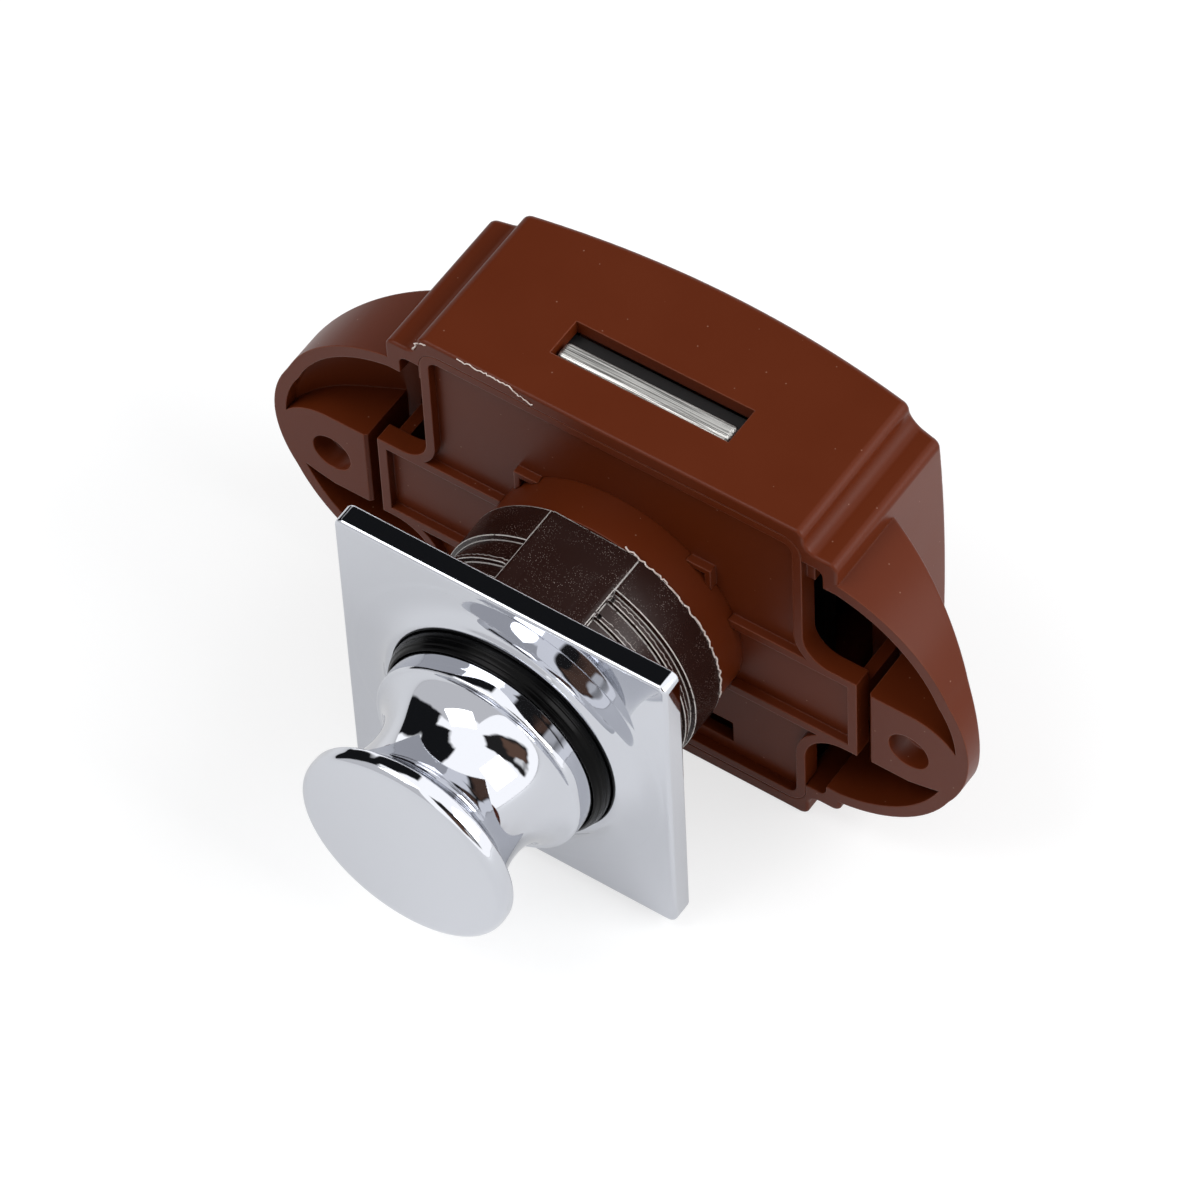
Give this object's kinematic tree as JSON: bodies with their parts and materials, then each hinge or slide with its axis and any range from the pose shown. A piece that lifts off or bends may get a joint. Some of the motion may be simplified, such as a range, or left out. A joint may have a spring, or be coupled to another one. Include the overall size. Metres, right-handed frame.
{
  "type": "push button cabinet lock",
  "caption": "Push-push furniture lock: domed brown housing with screw ears, sliding bolt, threaded sleeve, square chrome rosette and waisted chrome push knob.",
  "frame": {"origin": "on the knob's axis, in the plane of the housing's front rim and screw bosses, which lies on the door's inner face", "axes": "+Y into the cabinet, so the knob stands out along -Y; +Z the way the bolt comes out; +X towards the right ear seen from the knob"},
  "size_m": [0.0748, 0.0541, 0.0417],
  "materials": {
    "brown_plastic": "moulded ABS, satin gloss, chestnut brown",
    "dark_brown_plastic": "moulded glass-filled nylon, dark brown, satin gloss",
    "polished_chrome": "bright chrome plate on cast zinc",
    "black_plastic": "moulded acetal, black",
    "white_acetal": "moulded acetal, natural white",
    "nickel_steel": "stamped steel, nickel plated, fine grain",
    "zinc_steel": "zinc plated steel",
    "spring_steel": "drawn spring steel, bare",
    "black_rubber": "nitrile rubber, black"
  },
  "bodies": {
    "case": {"housing": "brown_plastic", "front_plate": "brown_plastic", "barrel": "brown_plastic", "threaded_sleeve": "dark_brown_plastic", "rosette": "polished_chrome", "knob_bush": "black_plastic", "bolt_guide": "black_plastic", "guide_screws": "zinc_steel", "bolt_buffer": "black_rubber", "bolt_steady_leaf": "spring_steel", "main_spring": "spring_steel", "spring_seat": "zinc_steel", "catch_leaf": "spring_steel"},
    "plunger": {"knob": "polished_chrome", "knob_stem": "zinc_steel", "stem_washer": "zinc_steel", "stem_lock_nut": "zinc_steel", "carrier_nut": "zinc_steel", "carrier": "white_acetal"},
    "bolt": {"bolt_plate": "nickel_steel"},
    "catch": {"catch_wire": "spring_steel"}
  },
  "joints": [
    {"name": "knob_slide", "type": "slide", "parent": "case", "child": "plunger", "axis": [0, 1, 0], "range_m": [0, 0.0085], "stiffness_N_per_m": 300, "springref_m": -0.008, "deforming": ["main_spring"]},
    {"name": "bolt_slide", "type": "slide", "parent": "case", "child": "bolt", "axis": [0, 0, 1], "range_m": [0, 0.0075]},
    {"name": "catch_swing", "type": "hinge", "parent": "case", "child": "catch", "pos_m": [0, 0.016, 0.0077], "axis": [0, 0, 1], "range_deg": [0, 8]}
  ],
  "couplings": [
    {"joint": "bolt_slide", "follows": "knob_slide", "ratio": 0.88235},
    {"joint": "catch_swing", "follows": "knob_slide", "rad_per_m": 16.39}
  ]
}
